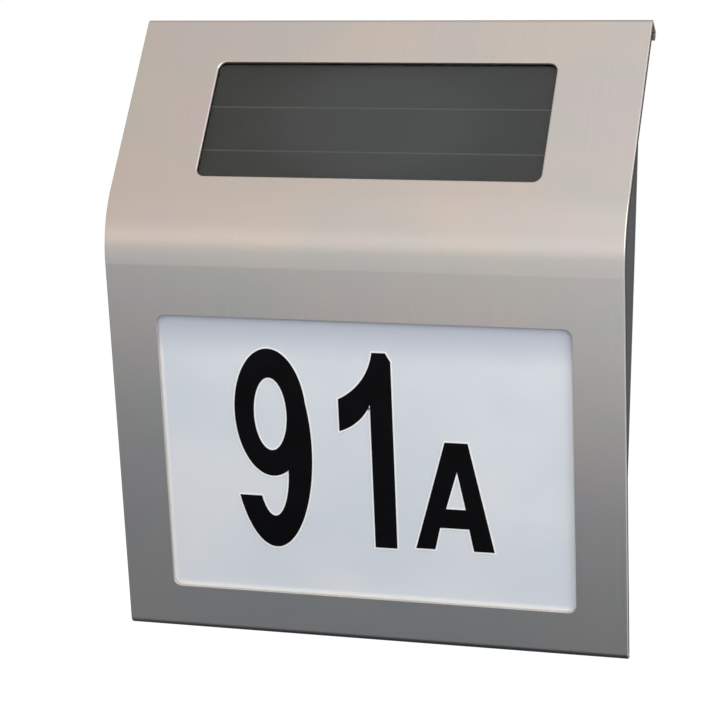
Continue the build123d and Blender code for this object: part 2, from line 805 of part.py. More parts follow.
def battery_door():
    """Sliding door with four tongues under the cover's edges and a ribbed finger grip."""
    half_x, half_z = DOOR_HALF - FIT, DOOR_HEIGHT / 2 - FIT
    door = block((-half_x, half_x), (FIELD_FRONT + FIT, RIM_FRONT), (CELL_Z - half_z, CELL_Z + half_z))
    for middle in (-TONGUE_X, TONGUE_X):
        x = (middle - TONGUE_LENGTH / 2, middle + TONGUE_LENGTH / 2)
        reach = DOOR_HEIGHT / 2 + TONGUE - FIT
        tongue_y = (FIELD_FRONT + FIT, FIELD_FRONT + FIT + TONGUE_THICKNESS)
        door = door + block(x, tongue_y, (CELL_Z - reach, CELL_Z + reach))
    raised = (RIM_FRONT - 0.1, RIM_FRONT + GRIP_HEIGHT)
    for n in range(GRIP_RIBS):
        x = DOOR_HALF - GRIP_START + n * GRIP_PITCH
        door = door + block((x, x + GRIP_PITCH / 2), raised, (CELL_Z - GRIP_HALF, CELL_Z + GRIP_HALF))
    tip = DOOR_HALF - GRIP_START - ARROW_GAP
    length, half = ARROW
    arrow = make_face(Polyline((tip, 0), (tip + length, half), (tip + length, -half), close=True))
    depth = raised[1] - raised[0]
    return door + Pos(0, raised[1], CELL_Z) * extrude(Plane.XZ * arrow, amount=depth)


def door_pad():
    """Foam pad on the inside of the door that steadies the cell."""
    length, thickness, height = DOOR_PAD
    y = (FIELD_FRONT + FIT - thickness, FIELD_FRONT + FIT)
    return block((-length / 2, length / 2), y, (CELL_Z - height / 2, CELL_Z + height / 2))


# ---------------------------------------------------------------- electronics

BOARD_INSET = 3.0
BOARD_SCREW_REACH = 4.5
CHIP_X = (61.0, 66.0)
CHIP_Z = (168.0, 172.0)
CHIP_Y = (1.6, 0.2)
LEG_COUNT = 4
LEG_PITCH = 1.2
LEG_WIDTH = 0.5
LEG_RISE = 0.6
LEG_REACH = 1.2
CHOKE_SPOT = (72.0, 161.0)
CHOKE_RADII = (3.5, 2.9)
CHOKE_HEIGHTS = (1.2, 4.5, 5.5)
CAPACITOR_SPOT = (73.0, 173.0)
CAPACITOR_SIZE = (2.5, 8.0)
CAPACITOR_ROUND = 0.5


def board_front():
    """Distance from the wall of the side of the board that faces the viewer."""
    return BOARD_BACK - BOARD


def board_posts():
    """Centres of the control board's four posts."""
    return [(x, z) for x in (BOARD_X[0] + BOARD_INSET, BOARD_X[1] - BOARD_INSET)
            for z in (BOARD_Z[0] + BOARD_INSET, BOARD_Z[1] - BOARD_INSET)]


def control_board():
    """Charge and night switching board, on posts of the back cover."""
    board = block(BOARD_X, (board_front(), BOARD_BACK), BOARD_Z)
    for x, z in board_posts():
        board = board - rod(SMALL_SCREW_RADIUS, x, z, board_front() - 1, BOARD_BACK + 1)
    return board


def control_board_screws():
    """Four small cross head screws through the board into its posts."""
    head_radius, head_height = SMALL_HEAD
    top = board_front() - head_height
    screws = []
    for x, z in board_posts():
        shank = rod(SMALL_SCREW_RADIUS, x, z, board_front(), BOARD_BACK + BOARD_SCREW_REACH)
        head = rod(head_radius, x, z, top, board_front())
        recess = cross_slot(x, z, top - 1, top + 0.4 * head_height, 0.6 * head_radius)
        screws.append(shank + head - recess)
    return joined(screws)


def controller_chip():
    """Eight-legged charge controller."""
    front = board_front()
    top, clearance = CHIP_Y
    body = block(CHIP_X, (front - top, front - clearance), CHIP_Z)
    legs = []
    for n in range(LEG_COUNT):
        x = sum(CHIP_X) / 2 + (n - (LEG_COUNT - 1) / 2) * LEG_PITCH
        leg_x = (x - LEG_WIDTH / 2, x + LEG_WIDTH / 2)
        leg_z = (CHIP_Z[0] - LEG_REACH, CHIP_Z[1] + LEG_REACH)
        legs.append(block(leg_x, (front - LEG_RISE, front), leg_z))
    return joined([body, *legs])


def inductor():
    """Round choke of the step-up circuit: a ferrite drum with a waist."""
    front = board_front()
    outer, waist = CHOKE_RADII
    low, high, top = CHOKE_HEIGHTS
    drum = rod(outer, *CHOKE_SPOT, front - top, front)
    groove = rod(outer + 1, *CHOKE_SPOT, front - high, front - low)
    core = rod(waist, *CHOKE_SPOT, front - top, front)
    return drum - (groove - core)


def capacitor():
    """Electrolytic can standing on the board."""
    radius, height = CAPACITOR_SIZE
    can = rod(radius, *CAPACITOR_SPOT, board_front() - height, board_front())
    return fillet(can.edges().group_by(Axis.Y)[0], CAPACITOR_ROUND)


def knob_start():
    """Left side of the switch knob when it is off."""
    return sum(SWITCH_X) / 2 - (KNOB[0] + KNOB_TRAVEL) / 2


def knob_room(front):
    """Room for the knob and its travel, from a distance in front of the wall back to the wall."""
    x = (knob_start() - KNOB_SLACK, knob_start() + KNOB[0] + KNOB_TRAVEL + KNOB_SLACK)
    half = KNOB[1] / 2 + KNOB_SLACK
    return block(x, (front, 0), (switch_middle() - half, switch_middle() + half))


def switch_body():
    """Slide switch soldered to the back of the board."""
    body = block(SWITCH_X, (BOARD_BACK, SWITCH_BACK), SWITCH_Z)
    return body - knob_room(SWITCH_BACK - KNOB_DEPTH)


def switch_slider():
    """The ribbed knob that is pushed from off to on, through the back cover."""
    x = (knob_start(), knob_start() + KNOB[0])
    z = (switch_middle() - KNOB[1] / 2, switch_middle() + KNOB[1] / 2)
    knob = block(x, (SWITCH_BACK - KNOB_DEPTH + FIT, KNOB_TIP), z)
    pitch = KNOB[0] / (KNOB_GROOVES + 1)
    for n in range(KNOB_GROOVES):
        middle = knob_start() + (n + 1) * pitch
        groove = (middle - pitch / 4, middle + pitch / 4)
        knob = knob - block(groove, (KNOB_TIP - 0.4, KNOB_TIP + 1), z)
    return knob


# ---------------------------------------------------------------- leads

SOLAR_LEAD_X = (52.0, 56.0)
SOLAR_LEAD_Y = -19.5
SOLAR_LEAD_Z = 163.0
SOLAR_LEAD_RUN = 6.5
SOLAR_LEAD_RADII = (2.8, 3.0)
SOLAR_PAD_DROP = 45.0
LED_LEAD_X = (59.5, 63.5)
LED_LEAD_Z = 155.5
BATTERY_PLUS_PAD = (54.5, 156.5)
BATTERY_MINUS_PAD = (50.5, 160.0)
PLUS_LEAD_DEPTH = 4.5
PLUS_LEAD_SIDE = 12.0
PLUS_LEAD_RISE = 15.0
PLUS_LEAD_RADII = (5.0, 5.0, 4.0, 3.8)


def lead(points, radii):
    """Round wire along straight runs and tangent arcs."""
    path = FilletPolyline(*points, radius=radii)
    start = Plane(origin=points[0], z_dir=path % 0)
    wire = sweep(start * Circle(LEAD_RADIUS), path=path)
    expected = path.length * math.pi * LEAD_RADIUS ** 2
    print("lead length", round(path.length, 1), "volume ratio", round(wire.volume / expected, 4))
    return wire


def solar_lead(x):
    """From the back of the solar module to the board."""
    pad = top_point(SOLAR_PAD_DROP, LEDGE_FRONT)
    out = pad + TOP_BACK * SOLAR_LEAD_RUN
    turn = (x, SOLAR_LEAD_Y, SOLAR_LEAD_Z)
    points = [(x, pad.X, pad.Y), (x, out.X, out.Y), turn, (x, board_front(), SOLAR_LEAD_Z)]
    return lead(points, SOLAR_LEAD_RADII)


def led_lead(x):
    """From the board down to the light-emitting diodes' board."""
    points = [(x, board_front(), LED_LEAD_Z), (x, LED_Y, LED_LEAD_Z), (x, LED_Y, led_board_top())]
    return lead(points, [LEAD_BEND])


def battery_lead_plus():
    """From the plus contact's tab, in front of the bay and the other lead, to the board."""
    tab_y = BAY_FLOOR - BAY_WALL - TAB_REACH / 2
    deep = tab_y - PLUS_LEAD_DEPTH
    side = -CONTACT_X - PLUS_LEAD_SIDE
    over = CELL_Z + PLUS_LEAD_RISE
    x, z = BATTERY_PLUS_PAD
    points = [
        (-CONTACT_X, tab_y, CELL_Z),
        (side, tab_y, CELL_Z),
        (side, deep, over),
        (x, deep, over),
        (x, deep, z),
        (x, board_front(), z),
    ]
    return lead(points, PLUS_LEAD_RADII)


def battery_lead_minus():
    """From the minus contact's tab straight up to the board."""
    tab_y = BAY_FLOOR - BAY_WALL - TAB_REACH / 2
    x, z = BATTERY_MINUS_PAD
    points = [(CONTACT_X, tab_y, CELL_Z), (x, tab_y, CELL_Z), (x, tab_y, z), (x, board_front(), z)]
    return lead(points, [LEAD_BEND, LEAD_BEND])


# ---------------------------------------------------------------- wall bracket


def wall_bracket():
    """Steel hanger: flat on the wall, two screw holes, and a stepped-out upper edge."""
    line = [
        Vector(0, BRACKET_LOW),
        Vector(0, BRACKET_BEND),
        Vector(-BRACKET_STEP, BRACKET_BEND + BRACKET_STEP),
        Vector(-BRACKET_STEP, BRACKET_TOP),
    ]
    outline = bent_strip(line, BRACKET_FOLDS, BRACKET_SHEET)
    plate = extrude(Plane.YZ * outline, amount=BRACKET_WIDTH / 2, both=True)
    for x in (-WALL_SCREW_SPACING / 2, WALL_SCREW_SPACING / 2):
        plate = plate - rod(WALL_SCREW_HOLE, x, WALL_SCREW_HEIGHT, -BRACKET_SHEET - 1, 1)
    corners = plate.edges().filter_by(Axis.Y).filter_by(GeomType.LINE)
    return fillet(corners, BRACKET_CORNER)


# ---------------------------------------------------------------- files


def save(name, shape):
    """Write one piece with the origin between the wall screws."""
    export_step(Pos(0, 0, -WALL_SCREW_HEIGHT) * shape, f"parts/{name}.step")


PIECES = (
    front_cover, cover_tape, housing, back_seal, back_cover, back_cover_screws,
    solar_glass, solar_cells, solar_backsheet, solar_seal,
    number_window, window_seal, numeral_9, numeral_1, letter_a,
    light_tray, led_board, leds, led_board_screws,
    battery_cell, battery_contact_positive, battery_contact_negative, battery_door, door_pad,
    control_board, control_board_screws, controller_chip, inductor, capacitor,
    switch_body, switch_slider, battery_lead_plus, battery_lead_minus, wall_bracket,
)

os.makedirs("parts", exist_ok=True)
for piece in PIECES:
    save(piece.__name__, piece())
for pole, solar_x, led_x in zip(("plus", "minus"), SOLAR_LEAD_X, LED_LEAD_X):
    save(f"solar_lead_{pole}", solar_lead(solar_x))
    save(f"led_lead_{pole}", led_lead(led_x))
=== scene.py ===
# %% [markdown]
# # A solar house number sign
#
# The sign is one folded sheet of brushed stainless steel. It has a window for a solar module in
# its sloping upper panel and a window for an opal number pane in its lower panel. It hooks over
# a grey plastic housing, which a dark back cover closes and a steel bracket carries on the wall.
#
# The pieces already exist as a fixed frame of solids at their real size. This file gives every
# surface its finish, adds what is too fine for those solids, and sets up camera and light.
# The solids could also be modelled again here, but then they might drift from their real sizes,
# so they are only dressed.

import math

import bmesh
import bpy
from mathutils import Matrix, Vector


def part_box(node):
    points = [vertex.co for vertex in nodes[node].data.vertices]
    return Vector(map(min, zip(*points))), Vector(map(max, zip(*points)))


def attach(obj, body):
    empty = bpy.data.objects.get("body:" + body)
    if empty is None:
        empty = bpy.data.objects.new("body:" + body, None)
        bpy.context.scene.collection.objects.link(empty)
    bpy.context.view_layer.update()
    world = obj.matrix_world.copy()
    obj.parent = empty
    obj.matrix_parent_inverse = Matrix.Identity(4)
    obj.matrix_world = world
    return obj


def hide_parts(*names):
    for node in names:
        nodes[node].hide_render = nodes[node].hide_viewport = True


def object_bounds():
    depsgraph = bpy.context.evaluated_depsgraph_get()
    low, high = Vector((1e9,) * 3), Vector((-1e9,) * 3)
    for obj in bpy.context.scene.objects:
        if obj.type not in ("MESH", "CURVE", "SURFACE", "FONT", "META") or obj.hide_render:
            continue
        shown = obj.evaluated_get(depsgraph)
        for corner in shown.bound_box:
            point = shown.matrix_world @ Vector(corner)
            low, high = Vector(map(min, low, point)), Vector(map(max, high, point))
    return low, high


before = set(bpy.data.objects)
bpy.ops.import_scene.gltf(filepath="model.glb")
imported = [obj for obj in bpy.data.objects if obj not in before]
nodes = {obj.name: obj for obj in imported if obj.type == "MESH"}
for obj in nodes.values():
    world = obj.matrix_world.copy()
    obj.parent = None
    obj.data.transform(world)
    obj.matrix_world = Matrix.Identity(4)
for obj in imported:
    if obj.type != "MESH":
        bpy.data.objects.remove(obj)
cad_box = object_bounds()
print("pieces in the frame:", len(nodes))

# %% [markdown]
# ## Units and colours
#
# Blender works in metres and in linear light. Sizes read better in millimetres, and colours are
# usually picked as hex values from a screen, which are sRGB. Two small helpers turn one into the
# other, so that every number below is one that a ruler or a colour picker would give.

# %% Millimetres and linear colours
MM = 0.001


def linear(hex_colour):
    """An sRGB hex colour as the linear RGBA that Blender's sockets want."""
    parts = [int(hex_colour[i:i + 2], 16) / 255 for i in (0, 2, 4)]
    flat = [p / 12.92 if p <= 0.04045 else ((p + 0.055) / 1.055) ** 2.4 for p in parts]
    return (*flat, 1.0)


print("mid grey 808080 is", round(linear("808080")[0], 3), "in linear light")

# %% [markdown]
# ## The camera
#
# The sign is looked at a little from its right and a little from above, with a long lens, so that
# its edges run almost parallel. The camera could be placed by eye, but its place, turn and lens
# were worked out from the corners of the sheet and of both windows, so here they are written down.
# The picture is 720 pixels square, and the focal length in pixels becomes a lens on a 36 mm sensor.

# %% Place the camera
PICTURE = 720
SENSOR = 36.0
FOCAL_PIXELS = 2372.3
CENTRE_PIXEL = (360, 400)
YAW, PITCH, ROLL = (math.radians(a) for a in (16.63, 4.871, 1.223))
DISTANCE = 833.1 * MM
AIM = Vector((0, 0, -72)) * MM
ASIDE, ALOFT = -11.21 * MM, -17.6 * MM
CLIP_NEAR, CLIP_FAR = 50 * MM, 50.0


def camera_axes():
    """Right, up and forward of the camera, from its yaw, pitch and roll."""
    ahead = math.cos(PITCH)
    forward = Vector((-math.sin(YAW) * ahead, math.cos(YAW) * ahead, -math.sin(PITCH)))
    level = Vector((math.cos(YAW), math.sin(YAW), 0))
    upright = level.cross(forward)
    right = level * math.cos(ROLL) + upright * math.sin(ROLL)
    return right, upright * math.cos(ROLL) - level * math.sin(ROLL), forward


def place_camera():
    """Camera that shows the sign as in the picture, set as the scene's camera."""
    right, up, forward = camera_axes()
    data = bpy.data.cameras.new("photo_camera")
    data.sensor_width = SENSOR
    data.lens = FOCAL_PIXELS / PICTURE * SENSOR
    data.shift_x = (PICTURE / 2 - CENTRE_PIXEL[0]) / PICTURE
    data.shift_y = (CENTRE_PIXEL[1] - PICTURE / 2) / PICTURE
    data.clip_start, data.clip_end = CLIP_NEAR, CLIP_FAR
    camera = bpy.data.objects.new("photo_camera", data)
    bpy.context.scene.collection.objects.link(camera)
    turn = Matrix((right, up, -forward)).transposed().to_4x4()
    place = AIM + right * ASIDE + up * ALOFT - forward * DISTANCE
    camera.matrix_world = Matrix.Translation(place) @ turn
    bpy.context.scene.camera = camera
    return camera


camera = place_camera()
stands_at = [round(v, 3) for v in camera.matrix_world.translation]
print("camera at", stands_at, "lens", round(camera.data.lens, 1))

# %% [markdown]
# ## One helper for shader nodes
#
# A finish is a small graph of nodes. Writing out each link takes three lines, so one function adds
# a node, sets what it is told and links any socket that it is given. Numbers that stay the same all
# over a surface go straight on the shader's sockets, because they then survive an export. Every
# range of roughness stays on one side of 0.27, where a denoised picture would show a hard edge.

# %% Shader helpers
def add(tree, kind, inputs=(), **settings):
    """A node of one kind with its settings, its values, and links from the sockets it is given."""
    made = tree.nodes.new(kind)
    for name, value in settings.items():
        setattr(made, name, value)
    for socket, value in dict(inputs).items():
        target = made.inputs[socket]
        if isinstance(value, bpy.types.NodeSocket):
            tree.links.new(value, target)
        else:
            target.default_value = value
    return made


def start_material(name, **constants):
    """A material with a Principled shader: its tree, shader and Object coordinates."""
    material = bpy.data.materials.new(name)
    material.use_nodes = True
    tree = material.node_tree
    shader = tree.nodes["Principled BSDF"]
    for socket, value in constants.items():
        shader.inputs[socket.replace("_", " ")].default_value = value
    return material, tree, shader, add(tree, "ShaderNodeTexCoord").outputs["Object"]


def stretched(tree, coords, lengths):
    """Coordinates in which a pattern's features have the given lengths in mm along X, Y and Z."""
    scale = tuple(1 / (length * MM) for length in lengths)
    return add(tree, "ShaderNodeMapping", {"Vector": coords, "Scale": scale}).outputs["Vector"]


def noise(tree, coords, lengths, detail=2.0, roughness=0.5):
    """Soft random pattern of that feature size in mm, from 0 to 1."""
    vector = stretched(tree, coords, lengths)
    inputs = {"Vector": vector, "Scale": 1.0, "Detail": detail, "Roughness": roughness}
    return add(tree, "ShaderNodeTexNoise", inputs).outputs["Fac"]


def spread(tree, value, low, high, start=0.3, end=0.7):
    """A pattern's middle range stretched to run from low to high."""
    inputs = {0: value, 1: start, 2: end, 3: low, 4: high}
    return add(tree, "ShaderNodeMapRange", inputs, interpolation_type="SMOOTHSTEP").outputs[0]


def two_tone(tree, factor, first, second):
    """Colour that runs from the first to the second hex colour."""
    inputs = {0: factor, 6: first, 7: second}
    inputs = {k: linear(v) if isinstance(v, str) else v for k, v in inputs.items()}
    return add(tree, "ShaderNodeMix", inputs, data_type="RGBA").outputs[2]


def bump(tree, shader, height, depth, strength=1.0, edge=0.0):
    """Relief of that depth in mm from a pattern of 0 to 1, on edges softened by a radius in mm."""
    inputs = {"Height": height, "Distance": depth * MM, "Strength": strength}
    if edge:
        rounded = add(tree, "ShaderNodeBevel", {"Radius": edge * MM}, samples=4)
        inputs["Normal"] = rounded.outputs["Normal"]
    relief = add(tree, "ShaderNodeBump", inputs)
    tree.links.new(relief.outputs["Normal"], shader.inputs["Normal"])


def join(tree, shader, **sockets):
    """Links patterns to the shader's sockets."""
    for name, value in sockets.items():
        tree.links.new(value, shader.inputs[name.replace("_", " ")])


print("shader helpers ready")

# %% [markdown]
# ## Brushed stainless steel
#
# The front is cold rolled stainless sheet, type 304, 1 mm thick, with a fine satin brush finish. A
# belt leaves parallel scratches up and down the panels, which blur what the steel mirrors mostly to
# the sides. The grooves are finer than a pixel, so they are drawn 0.5 mm wide and very faint. Slow
# random clouds of tint, from tan to grey and pink, are painted reflection of the surroundings.
# A flat grey metal would look like paint, so tint, gloss and relief each get a pattern. The bevel
# node rounds the light a little along every cut edge, as deburring does.

# %% Steel finish
GRAIN_PITCH = 0.5
GRAIN_LENGTH = 45.0
GROOVE_DEPTH = 0.003
TAN_REFLECTION_CLOUDS = (44.0, 30.0, 26.0)
PINK_REFLECTION_CLOUDS = (30.0, 38.0, 34.0)
SATIN = (0.285, 0.34)
ACROSS_GRAIN = {0: 1.0, 1: 0.02, 2: 0.01}
DEBURRED = 0.2


def brushed_stainless():
    """Satin brushed sheet: clouds of painted reflection in its tint, faint grooves and gloss that
    follows them.
    """
    material, tree, shader, place = start_material(
        "brushed_stainless_304", Metallic=1.0, Anisotropic=0.4
    )
    grain = noise(tree, place, (GRAIN_PITCH, GRAIN_LENGTH, GRAIN_LENGTH), 3.0, 0.6)
    clouds = noise(tree, place, TAN_REFLECTION_CLOUDS, 1.0)
    drift = noise(tree, place, PINK_REFLECTION_CLOUDS, 1.0)
    # Painted reflection: random clouds of tan, grey and pink tint stand in for what the steel
    # mirrors.
    tan_reflection = two_tone(tree, spread(tree, clouds, 0.0, 1.0), "ddd3cc", "d4d2cd")
    pink_reflection = two_tone(tree, spread(tree, drift, 0.0, 0.7, 0.45, 0.7), tan_reflection, "dad0d0")
    streaked = two_tone(tree, spread(tree, grain, 0.0, 0.06), pink_reflection, "a89f98")
    tangent = add(tree, "ShaderNodeCombineXYZ", ACROSS_GRAIN).outputs[0]
    join(tree, shader, Base_Color=streaked, Roughness=spread(tree, grain, *SATIN), Tangent=tangent)
    bump(tree, shader, grain, GROOVE_DEPTH, 0.3, DEBURRED)
    return material


# %% [markdown]
# ## Glass, cells and board of the solar module
#
# Behind the upper window sits a small module: float glass, three long dark cells and the board
# that they lie on. The glass could be left out, as it is clear, but it gives the window its gloss
# and the cells their depth. The cells are silicon with an anti-reflective coat, so they are a deep
# blue grey with a hint of green. The gaps between them show the paler board as two thin lines.

# %% Solar module finishes
PAINTED_LIGHT_REACH = (78.0, 60.0, 42.0)
CRYSTAL = 1.6


def solar_glass():
    """Clear float glass: low roughness, the index of soda lime glass, and a trace of green."""
    material, tree, shader, place = start_material(
        "soda_lime_glass", IOR=1.52, Transmission_Weight=1.0
    )
    smear = noise(tree, place, (30.0, 30.0, 30.0), 2.0)
    tint = two_tone(tree, spread(tree, smear, 0.0, 1.0), "f2f6f3", "eef3f0")
    join(tree, shader, Base_Color=tint, Roughness=spread(tree, smear, 0.07, 0.1))
    bump(tree, shader, noise(tree, place, (30.0, 30.0, 30.0), 1.0), 0.005, 0.1)
    return material


def solar_cell():
    """Coated silicon: satin, dark grey, with painted light that makes it paler towards the middle
    of the window.
    """
    material, tree, shader, place = start_material("coated_silicon", Specular_IOR_Level=0.2)
    middle = (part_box("solar_cells")[0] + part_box("solar_cells")[1]) / 2
    # Painted light: a pool of paler colour towards the middle of the window.
    offset = add(tree, "ShaderNodeVectorMath", {0: place, 1: middle}, operation="SUBTRACT")
    vector = stretched(tree, offset.outputs[0], PAINTED_LIGHT_REACH)
    painted_light_fade = add(tree, "ShaderNodeTexGradient", {"Vector": vector}, gradient_type="QUADRATIC_SPHERE")
    clouds = noise(tree, place, (40.0, 16.0, 16.0), 2.0)
    crystals = noise(tree, place, (CRYSTAL, CRYSTAL, CRYSTAL), 2.0)
    cloudy = two_tone(tree, spread(tree, clouds, 0.0, 1.0), "313438", "323533")
    with_painted_light = two_tone(tree, spread(tree, painted_light_fade.outputs["Fac"], 0.0, 1.0, 0.0, 0.5), cloudy, "4a4f50")
    fine = two_tone(tree, spread(tree, crystals, 0.0, 0.2), with_painted_light, "4c5153")
    join(tree, shader, Base_Color=fine, Roughness=spread(tree, crystals, 0.38, 0.5))
    bump(tree, shader, crystals, 0.004, 0.3)
    return material


def backsheet():
    """Glass fibre board under the cells, seen as pale grey lines between them."""
    material, tree, shader, place = start_material("module_board", Specular_IOR_Level=0.3)
    weave = noise(tree, place, (0.9, 0.9, 0.9), 1.0)
    colour = two_tone(tree, weave, "5d6364", "666c6d")
    join(tree, shader, Base_Color=colour, Roughness=spread(tree, weave, 0.5, 0.7))
    bump(tree, shader, weave, 0.02, 0.3)
    return material


# %% [markdown]
# ## The opal pane and its black numbers
#
# The number pane is cast opal acrylic, milky right through, so that the diodes behind it spread to
# an even glow. By day it looks bluish white, with painted shade near its top. Light that enters it
# comes out a few millimetres away, and a little subsurface scattering gives it that softness. At
# the sides and the bottom a painted highlight makes a thin rim paler.
# The numbers are cut from black vinyl film, with the faint pebble of cast film. They lie on a
# slightly larger white film, which shows as a thin bright margin round each of them.

# %% Pane and film finishes
PAINTED_PANE_SHADE = (6.0, 20.0)
PAINTED_SIDE_RIM = (70.9, 72.2)
PAINTED_LOW_RIM = (3.8, 6.0)
PEBBLE = 0.7


def opal_acrylic():
    """Milky pane: painted shade along its top, with a painted highlight as a paler rim at the sides
    and the bottom.
    """
    material, tree, shader, place = start_material(
        "opal_acrylic", IOR=1.49, Subsurface_Weight=0.2, Subsurface_Scale=2.0 * MM
    )
    shader.inputs["Subsurface Radius"].default_value = (1.0, 1.0, 1.0)
    low, top = (corner.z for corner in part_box("number_window"))
    axes = add(tree, "ShaderNodeSeparateXYZ", {0: place}).outputs
    height = axes["Z"]
    # Painted highlight: a paler rim at the sides and the bottom of the pane.
    aside = add(tree, "ShaderNodeMath", {0: axes["X"]}, operation="ABSOLUTE").outputs[0]
    side_highlight = spread(tree, aside, 0.0, 1.0, *(x * MM for x in PAINTED_SIDE_RIM))
    bottom_highlight = spread(tree, height, 1.0, 0.0, *(low + z * MM for z in PAINTED_LOW_RIM))
    painted_rim_highlight = add(tree, "ShaderNodeMath", {0: side_highlight, 1: bottom_highlight}, operation="MAXIMUM").outputs[0]
    # Painted shade: darker colour along the top of the pane.
    painted_shade_fade = spread(tree, height, 1.0, 0.0, top - PAINTED_PANE_SHADE[1] * MM, top - PAINTED_PANE_SHADE[0] * MM)
    haze = noise(tree, place, (50.0, 36.0, 36.0), 2.0)
    ripple = noise(tree, place, (26.0, 26.0, 26.0), 1.0)
    milky_and_highlight = two_tone(tree, spread(tree, haze, 0.0, 1.0), "dfe5ee", "e8ecf2")
    milky_and_highlight = two_tone(tree, painted_rim_highlight, milky_and_highlight, "ffffff")
    with_painted_shade = two_tone(tree, painted_shade_fade, "c7ccd9", milky_and_highlight)
    join(tree, shader, Base_Color=with_painted_shade, Roughness=spread(tree, haze, 0.28, 0.36))
    bump(tree, shader, ripple, 0.02, 0.25)
    return material


def black_vinyl():
    """Black cast film: pebbled, with a trace of dust."""
    material, tree, shader, place = start_material(
        "black_vinyl_film", IOR=1.53, Specular_IOR_Level=0.08
    )
    pebble = noise(tree, place, (PEBBLE, PEBBLE, PEBBLE), 2.0)
    dust = noise(tree, place, (9.0, 9.0, 9.0), 3.0)
    join(tree, shader, Base_Color=two_tone(tree, spread(tree, dust, 0.0, 1.0), "040406", "08080b"))
    join(tree, shader, Roughness=spread(tree, pebble, 0.42, 0.55))
    bump(tree, shader, pebble, 0.01, 0.4)
    return material


def white_film():
    """White cast film under the black one: it shows as a margin round each character."""
    material, tree, shader, place = start_material(
        "white_vinyl_film", IOR=1.53, Specular_IOR_Level=0.3
    )
    pebble = noise(tree, place, (PEBBLE, PEBBLE, PEBBLE), 2.0)
    join(tree, shader, Base_Color=two_tone(tree, pebble, "fafbfc", "ffffff"))
    join(tree, shader, Roughness=spread(tree, pebble, 0.45, 0.6))
    bump(tree, shader, pebble, 0.01, 0.3)
    return material


# %% [markdown]
# ## Moulded plastics and rubbers
#
# The housing, the back cover, the door and the light box are injection moulded ABS. A mould is
# spark eroded, which leaves a fine even grain, and the plastic keeps faint flow clouds. One
# function makes them all, with the grain size, the tone and the gloss of each. Rubber, foam and
# silicone are softer: rougher, with their own cell or skin.

# %% Plastics and rubbers
MOULD_EDGE = 0.3
WORN = "8a8a8a"


def moulded(name, tone, shade, grain, gloss, depth=0.02, ior=1.54):
    """A moulded plastic: two near tones in flow clouds, spark eroded grain, and a gloss range."""
    material, tree, shader, place = start_material(name, IOR=ior)
    flow = noise(tree, place, (38.0, 38.0, 26.0), 3.0)
    pits = noise(tree, place, (grain, grain, grain), 2.0, 0.6)
    base = two_tone(tree, spread(tree, flow, 0.0, 1.0), tone, shade)
    worn = two_tone(tree, spread(tree, pits, 0.0, 0.12), base, WORN)
    join(tree, shader, Base_Color=worn, Roughness=spread(tree, pits, *gloss))
    bump(tree, shader, pits, depth, 0.5, MOULD_EDGE)
    return material


def foam_tape():
    """Closed cell acrylic foam: dark grey and matt, with open cells at its cut edge."""
    return moulded("foam_tape", "3c3d3f", "46474a", 0.5, (0.8, 0.95), 0.06)


def black_rubber():
    """Moulded rubber gasket: nearly black, matt, with a dusty bloom."""
    return moulded("black_rubber", "1b1b1c", "242425", 0.8, (0.6, 0.8), 0.03)


def silicone():
    """Neutral cure silicone, smoothed by hand: dark, soft gloss, gently uneven."""
    return moulded("silicone_bead", "1f2021", "2a2b2c", 3.0, (0.3, 0.45), 0.08, 1.43)


def grey_abs():
    """Housing: dark grey ABS with a fine eroded grain."""
    return moulded("grey_abs", "404043", "3a3a3d", 0.7, (0.55, 0.68), ior=1.42)


def dark_abs():
    """Back cover and battery door: charcoal ABS, a little coarser in its grain."""
    return moulded("dark_abs", "3a3a3d", "333336", 0.9, (0.45, 0.6), 0.03)


def white_abs():
    """Light box: glossy white ABS that throws the light forward."""
    return moulded("white_abs", "ecece8", "e3e3df", 1.2, (0.28, 0.38))


def knob_plastic():
    """Switch knob: black acetal, slightly waxy."""
    return moulded("black_acetal", "1d1d1f", "252527", 0.6, (0.35, 0.5), 0.02, 1.48)


def chip_epoxy():
    """Black moulding compound round the chip, with a sanded look."""
    return moulded("moulding_compound", "222224", "2b2b2d", 0.4, (0.5, 0.65))


def capacitor_sleeve():
    """Shrink sleeve of the capacitor: blue black and smooth."""
    return moulded("capacitor_sleeve", "22262e", "2a2f38", 1.5, (0.3, 0.42), 0.01, 1.52)


def ferrite():
    """Sintered ferrite: charcoal and slightly glittering."""
    return moulded("ferrite", "3a3836", "2d2b2a", 0.5, (0.4, 0.6), 0.03)


# %% [markdown]
# ## Plated and plain metals
#
# Screws are zinc plated with a thin bluish passivation, contacts are nickel plated spring steel,
# and the wall bracket is hot dip galvanised sheet, whose zinc freezes in
# flat crystals of a few millimetres. Cells of a Voronoi pattern give those crystals, because they
# meet in straight edges as the real ones do. The switch's shell is tinned, which is smoother.

# %% Metals
ZINC_CRYSTAL = 5.0


def plated(name, tone, shade, grain, gloss):
    """A plated metal: two tones, brush or plating grain, and a gloss range."""
    material, tree, shader, place = start_material(name, Metallic=1.0)
    clouds = noise(tree, place, (6.0, 6.0, 6.0), 3.0)
    fine = noise(tree, place, grain, 2.0)
    join(tree, shader, Base_Color=two_tone(tree, spread(tree, clouds, 0.0, 1.0), tone, shade))
    join(tree, shader, Roughness=spread(tree, fine, *gloss))
    bump(tree, shader, fine, 0.01, 0.4)
    return material


def zinc_screw():
    return plated("zinc_plated_steel", "b9bdc4", "a7abb0", (0.8, 0.3, 0.8), (0.28, 0.38))


def switch_shell():
    return plated("tinned_steel", "c4c6c8", "b3b5b7", (1.2, 0.4, 1.2), (0.3, 0.42))


def nickel_steel():
    return plated("nickel_plated_spring_steel", "c9c6bd", "bdb9ae", (3.0, 0.3, 3.0), (0.16, 0.26))


